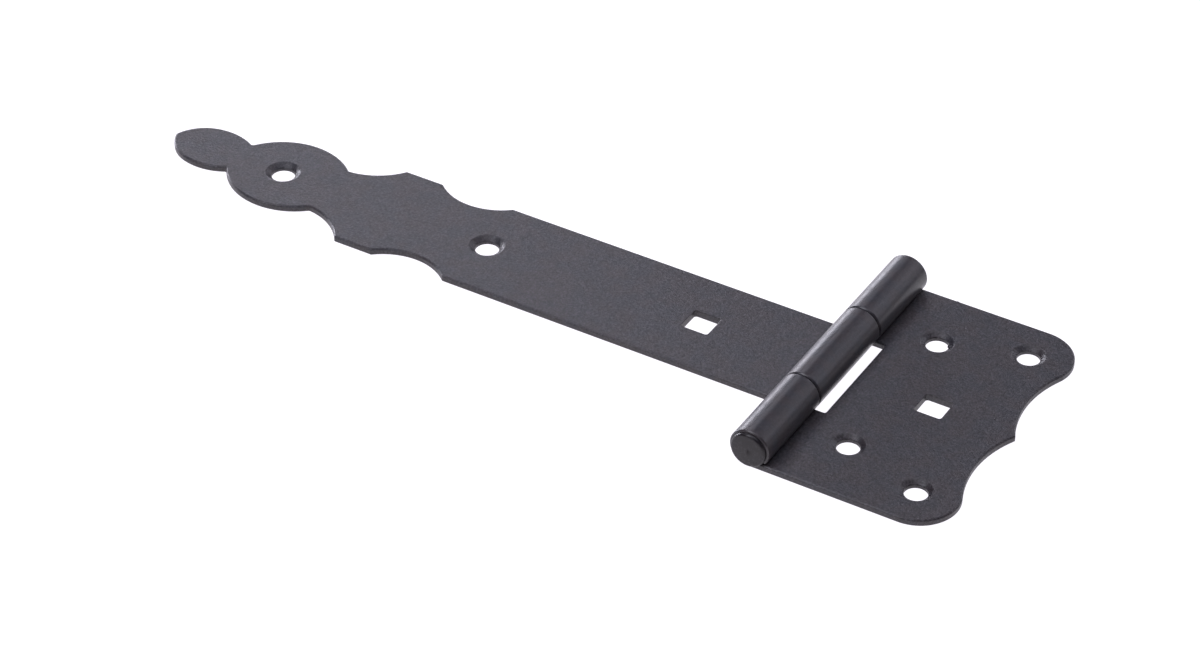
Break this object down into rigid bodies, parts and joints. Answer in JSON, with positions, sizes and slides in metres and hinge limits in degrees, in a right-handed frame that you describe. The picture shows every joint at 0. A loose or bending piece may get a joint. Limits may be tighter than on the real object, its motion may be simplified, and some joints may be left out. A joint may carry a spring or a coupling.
{
  "type": "tee hinge",
  "caption": "Ornamental T hinge: a long strap leaf with stamped scallops and a pointed end, a cross plate with a wavy edge, and rolled knuckles turning on a headed pin.",
  "frame": {"origin": "on the back face of the leaves, under the middle of the pin", "axes": "+Z away from the surface the hinge is screwed to, the strap leaf to -X, the cross plate to +X, the pin along Y with its head at -Y"},
  "size_m": [0.2532, 0.0865, 0.011],
  "materials": {
    "strap_coat": "fine satin",
    "plate_coat": "fine satin",
    "pin_coat": "fine satin"
  },
  "bodies": {
    "plate": {"cross_plate": "plate_coat", "hinge_pin": "pin_coat"},
    "strap": {"strap_leaf": "strap_coat"}
  },
  "joints": [
    {"name": "strap_swing", "type": "hinge", "parent": "plate", "child": "strap", "pos_m": [0, 0, 0.00548], "axis": [0, 1, 0], "range_deg": [-90, 180]}
  ]
}
